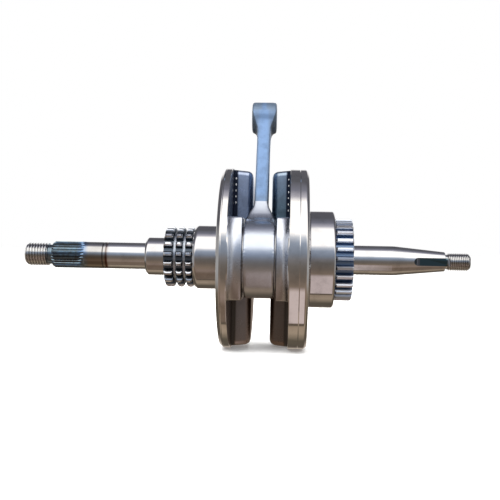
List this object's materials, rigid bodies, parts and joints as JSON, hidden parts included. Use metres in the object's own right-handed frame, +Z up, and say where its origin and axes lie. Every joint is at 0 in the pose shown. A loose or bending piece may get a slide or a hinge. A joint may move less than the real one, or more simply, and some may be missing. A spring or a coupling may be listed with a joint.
{
  "type": "crankshaft",
  "caption": "Built-up single-cylinder crankshaft with full-circle webs, connecting rod on a roller big end, timing sprocket, spur gear, main bearing, splined and tapered shaft ends.",
  "frame": {"origin": "on the crank axis, in the middle plane of the connecting rod", "axes": "+X along the crank axis from the splined end towards the tapered end; the crankpin is on the -Y side at rest; +Z up, the way the connecting rod points"},
  "size_m": [0.3131, 0.126, 0.1754],
  "materials": {
    "forged_steel": "forged web with ground and polished rim, journals and tapers",
    "rod_steel": "shot-blasted forging with machined eyes",
    "bearing_steel": "ground and polished bearing steel",
    "gear_steel": "hobbed and hardened, bright tooth tips",
    "sprocket_steel": "hardened, bright tooth tips and valleys",
    "pressed_steel": "pressed or turned, plain"
  },
  "bodies": {
    "bearing_outer_ring": {"main_bearing_outer_ring": "bearing_steel"},
    "crankshaft": {"left_crank_half": "forged_steel", "right_crank_half": "forged_steel", "crank_pin": "bearing_steel", "crank_pin_plug_left": "pressed_steel", "crank_pin_plug_right": "pressed_steel", "thrust_washer_left": "pressed_steel", "thrust_washer_right": "pressed_steel", "oil_seal_collar": "bearing_steel", "timing_sprocket": "sprocket_steel", "left_bearing_inner_ring": "bearing_steel", "main_bearing_inner_ring": "bearing_steel", "balancer_drive_gear": "gear_steel", "balancer_gear_key": "pressed_steel"},
    "rod": {"connecting_rod": "rod_steel"},
    "roller_cage": {"big_end_cage": "pressed_steel", "big_end_roller_01": "bearing_steel", "big_end_roller_02": "bearing_steel", "big_end_roller_03": "bearing_steel", "big_end_roller_04": "bearing_steel", "big_end_roller_05": "bearing_steel", "big_end_roller_06": "bearing_steel", "big_end_roller_07": "bearing_steel", "big_end_roller_08": "bearing_steel", "big_end_roller_09": "bearing_steel", "big_end_roller_10": "bearing_steel", "big_end_roller_11": "bearing_steel", "big_end_roller_12": "bearing_steel", "big_end_roller_13": "bearing_steel", "big_end_roller_14": "bearing_steel", "big_end_roller_15": "bearing_steel", "big_end_roller_16": "bearing_steel"},
    "ball_cage": {"main_bearing_cage_left": "pressed_steel", "main_bearing_cage_right": "pressed_steel", "main_bearing_ball_1": "bearing_steel", "main_bearing_cage_rivet_1": "pressed_steel", "main_bearing_ball_2": "bearing_steel", "main_bearing_cage_rivet_2": "pressed_steel", "main_bearing_ball_3": "bearing_steel", "main_bearing_cage_rivet_3": "pressed_steel", "main_bearing_ball_4": "bearing_steel", "main_bearing_cage_rivet_4": "pressed_steel", "main_bearing_ball_5": "bearing_steel", "main_bearing_cage_rivet_5": "pressed_steel", "main_bearing_ball_6": "bearing_steel", "main_bearing_cage_rivet_6": "pressed_steel", "main_bearing_ball_7": "bearing_steel", "main_bearing_cage_rivet_7": "pressed_steel", "main_bearing_ball_8": "bearing_steel", "main_bearing_cage_rivet_8": "pressed_steel"}
  },
  "joints": [
    {"name": "crank_spin", "type": "hinge", "parent": "bearing_outer_ring", "child": "crankshaft", "pos_m": [0, 0, 0], "axis": [1, 0, 0], "continuous": true},
    {"name": "rod_swing", "type": "hinge", "parent": "crankshaft", "child": "rod", "pos_m": [0, -0.034, 0], "axis": [1, 0, 0], "continuous": true},
    {"name": "roller_cage_spin", "type": "hinge", "parent": "crankshaft", "child": "roller_cage", "pos_m": [0, -0.034, 0], "axis": [1, 0, 0], "continuous": true},
    {"name": "ball_cage_spin", "type": "hinge", "parent": "bearing_outer_ring", "child": "ball_cage", "pos_m": [0.0406, 0, 0], "axis": [1, 0, 0], "continuous": true}
  ],
  "couplings": [
    {"joint": "roller_cage_spin", "follows": "rod_swing", "ratio": 0.5588},
    {"joint": "ball_cage_spin", "follows": "crank_spin", "ratio": 0.376}
  ]
}
